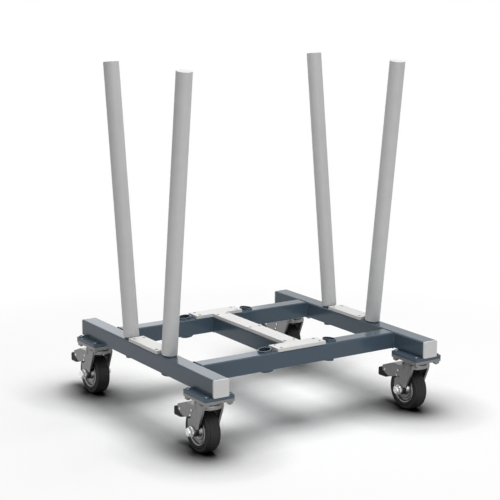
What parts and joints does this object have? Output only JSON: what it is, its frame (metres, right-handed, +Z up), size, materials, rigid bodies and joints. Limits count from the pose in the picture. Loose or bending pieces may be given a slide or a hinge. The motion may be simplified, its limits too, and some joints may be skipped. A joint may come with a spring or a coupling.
{
  "type": "sheet goods cart",
  "caption": "Low steel frame cart on braked swivel casters, with leaning round posts in sockets that hold boards and sheets on edge over plastic pads.",
  "frame": {"origin": "on the floor, under the middle of the whole cart's box, pedals and end caps included", "axes": "+Z up; +X along the two long tubes, from the left end tube to the right one; +Y along the end tubes, towards the side that all four casters trail to"},
  "size_m": [0.8156, 0.863, 1.0325],
  "materials": {
    "frame_paint": "blue-grey powder coat, satin",
    "end_cap": "moulded, light grey",
    "post_sleeve": "extruded, light grey, dull",
    "pad": "off-white, planed and slightly soft at the edges",
    "caster_zinc": "pressed steel, zinc plated",
    "fastener": "bright zinc",
    "rim_steel": "pressed steel, bright zinc",
    "bearing_steel": "ground",
    "pipe_steel": "drawn pipe, zinc plated",
    "tyre_rubber": "solid black rubber, fine mould lines",
    "pedal_black": "moulded, black"
  },
  "bodies": {
    "frame": {"end_tube_left": "frame_paint", "end_tube_right": "frame_paint", "long_tube_front": "frame_paint", "long_tube_rear": "frame_paint", "centre_tube": "frame_paint", "post_sockets": "frame_paint", "spare_sockets": "frame_paint", "caster_mount_plates": "frame_paint", "tube_end_caps": "end_cap", "pad_left": "pad", "pad_right": "pad", "pad_front": "pad", "pad_rear": "pad", "pad_centre": "pad", "pad_screws": "fastener", "caster_bolts": "fastener", "caster_nuts": "fastener", "king_pins": "fastener", "swivel_balls": "bearing_steel", "top_plate_front_left": "caster_zinc", "top_plate_front_right": "caster_zinc", "top_plate_rear_left": "caster_zinc", "top_plate_rear_right": "caster_zinc"},
    "post_front_left": {"post_pipe_front_left": "pipe_steel", "post_sleeve_front_left": "post_sleeve"},
    "post_front_right": {"post_pipe_front_right": "pipe_steel", "post_sleeve_front_right": "post_sleeve"},
    "post_rear_left": {"post_pipe_rear_left": "pipe_steel", "post_sleeve_rear_left": "post_sleeve"},
    "post_rear_right": {"post_pipe_rear_right": "pipe_steel", "post_sleeve_rear_right": "post_sleeve"},
    "swivel_front_left": {"fork_front_left": "caster_zinc", "axle_front_left": "fastener"},
    "wheel_front_left": {"rim_front_left": "rim_steel", "tyre_front_left": "tyre_rubber", "bearing_front_left": "bearing_steel"},
    "brake_front_left": {"brake_lever_front_left": "caster_zinc", "brake_pedal_front_left": "pedal_black"},
    "swivel_front_right": {"fork_front_right": "caster_zinc", "axle_front_right": "fastener"},
    "wheel_front_right": {"rim_front_right": "rim_steel", "tyre_front_right": "tyre_rubber", "bearing_front_right": "bearing_steel"},
    "brake_front_right": {"brake_lever_front_right": "caster_zinc", "brake_pedal_front_right": "pedal_black"},
    "swivel_rear_left": {"fork_rear_left": "caster_zinc", "axle_rear_left": "fastener"},
    "wheel_rear_left": {"rim_rear_left": "rim_steel", "tyre_rear_left": "tyre_rubber", "bearing_rear_left": "bearing_steel"},
    "brake_rear_left": {"brake_lever_rear_left": "caster_zinc", "brake_pedal_rear_left": "pedal_black"},
    "swivel_rear_right": {"fork_rear_right": "caster_zinc", "axle_rear_right": "fastener"},
    "wheel_rear_right": {"rim_rear_right": "rim_steel", "tyre_rear_right": "tyre_rubber", "bearing_rear_right": "bearing_steel"},
    "brake_rear_right": {"brake_lever_rear_right": "caster_zinc", "brake_pedal_rear_right": "pedal_black"}
  },
  "joints": [
    {"name": "post_lift_front_left", "type": "slide", "parent": "frame", "child": "post_front_left", "axis": [0, -0.1219, 0.9925], "range_m": [0, 0.055]},
    {"name": "post_lift_front_right", "type": "slide", "parent": "frame", "child": "post_front_right", "axis": [0, -0.1219, 0.9925], "range_m": [0, 0.055]},
    {"name": "post_lift_rear_left", "type": "slide", "parent": "frame", "child": "post_rear_left", "axis": [0, 0.1219, 0.9925], "range_m": [0, 0.055]},
    {"name": "post_lift_rear_right", "type": "slide", "parent": "frame", "child": "post_rear_right", "axis": [0, 0.1219, 0.9925], "range_m": [0, 0.055]},
    {"name": "swivel_turn_front_left", "type": "hinge", "parent": "frame", "child": "swivel_front_left", "pos_m": [-0.358, -0.3655, 0.15], "axis": [0, 0, 1], "continuous": true},
    {"name": "wheel_roll_front_left", "type": "hinge", "parent": "swivel_front_left", "child": "wheel_front_left", "pos_m": [-0.358, -0.3335, 0.0625], "axis": [1, 0, 0], "continuous": true},
    {"name": "brake_press_front_left", "type": "hinge", "parent": "swivel_front_left", "child": "brake_front_left", "pos_m": [-0.358, -0.3495, 0.137], "axis": [-1, 0, 0], "range_deg": [0, 10]},
    {"name": "swivel_turn_front_right", "type": "hinge", "parent": "frame", "child": "swivel_front_right", "pos_m": [0.358, -0.3655, 0.15], "axis": [0, 0, 1], "continuous": true},
    {"name": "wheel_roll_front_right", "type": "hinge", "parent": "swivel_front_right", "child": "wheel_front_right", "pos_m": [0.358, -0.3335, 0.0625], "axis": [1, 0, 0], "continuous": true},
    {"name": "brake_press_front_right", "type": "hinge", "parent": "swivel_front_right", "child": "brake_front_right", "pos_m": [0.358, -0.3495, 0.137], "axis": [-1, 0, 0], "range_deg": [0, 10]},
    {"name": "swivel_turn_rear_left", "type": "hinge", "parent": "frame", "child": "swivel_rear_left", "pos_m": [-0.358, 0.2865, 0.15], "axis": [0, 0, 1], "continuous": true},
    {"name": "wheel_roll_rear_left", "type": "hinge", "parent": "swivel_rear_left", "child": "wheel_rear_left", "pos_m": [-0.358, 0.3185, 0.0625], "axis": [1, 0, 0], "continuous": true},
    {"name": "brake_press_rear_left", "type": "hinge", "parent": "swivel_rear_left", "child": "brake_rear_left", "pos_m": [-0.358, 0.3025, 0.137], "axis": [-1, 0, 0], "range_deg": [0, 10]},
    {"name": "swivel_turn_rear_right", "type": "hinge", "parent": "frame", "child": "swivel_rear_right", "pos_m": [0.358, 0.2865, 0.15], "axis": [0, 0, 1], "continuous": true},
    {"name": "wheel_roll_rear_right", "type": "hinge", "parent": "swivel_rear_right", "child": "wheel_rear_right", "pos_m": [0.358, 0.3185, 0.0625], "axis": [1, 0, 0], "continuous": true},
    {"name": "brake_press_rear_right", "type": "hinge", "parent": "swivel_rear_right", "child": "brake_rear_right", "pos_m": [0.358, 0.3025, 0.137], "axis": [-1, 0, 0], "range_deg": [0, 10]}
  ]
}
